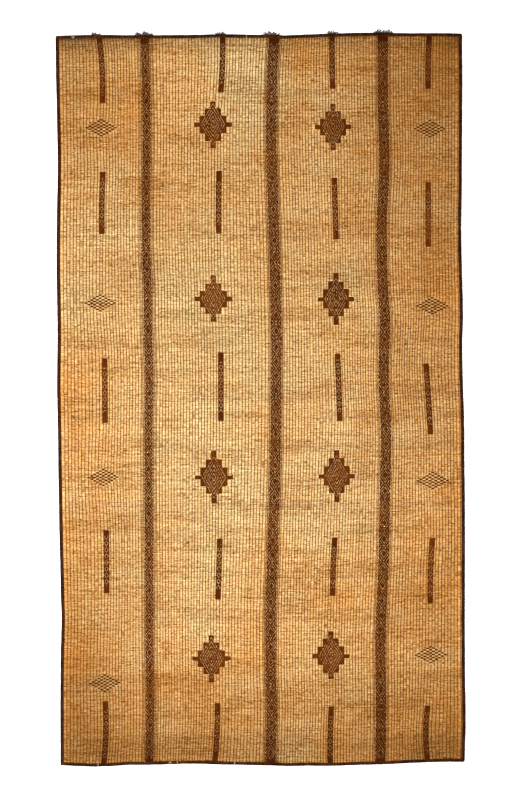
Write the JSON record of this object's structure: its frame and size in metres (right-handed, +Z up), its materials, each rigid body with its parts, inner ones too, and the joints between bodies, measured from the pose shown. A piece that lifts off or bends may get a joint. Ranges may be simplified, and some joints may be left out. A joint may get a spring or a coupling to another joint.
{
  "type": "tuareg mat",
  "caption": "Flat mat of grass reeds held by dark leather thongs, with bands, bars and stepped diamonds woven in leather and a folded leather edge; lies on a floor",
  "frame": {"origin": "centre of the whole mat at the level it lies on, the tufts included", "axes": "+X across the mat, along its reeds; +Y along its length, towards the edge with the tufts of thong ends; +Z up, out of its face"},
  "size_m": [2.0104, 3.637, 0.007],
  "materials": {
    "reed_weave": "dry straw, slightly glossy along the stems",
    "binding_leather": "satin, dark brown, creased",
    "thong_leather": "satin, dark brown"
  },
  "bodies": {
    "root": {"woven_mat": "reed_weave", "binding_left": "binding_leather", "binding_right": "binding_leather", "binding_top": "binding_leather", "binding_bottom": "binding_leather", "tuft_1": "thong_leather", "tuft_2": "thong_leather", "tuft_3": "thong_leather", "tuft_4": "thong_leather", "tuft_5": "thong_leather", "tuft_6": "thong_leather"}
  },
  "joints": []
}
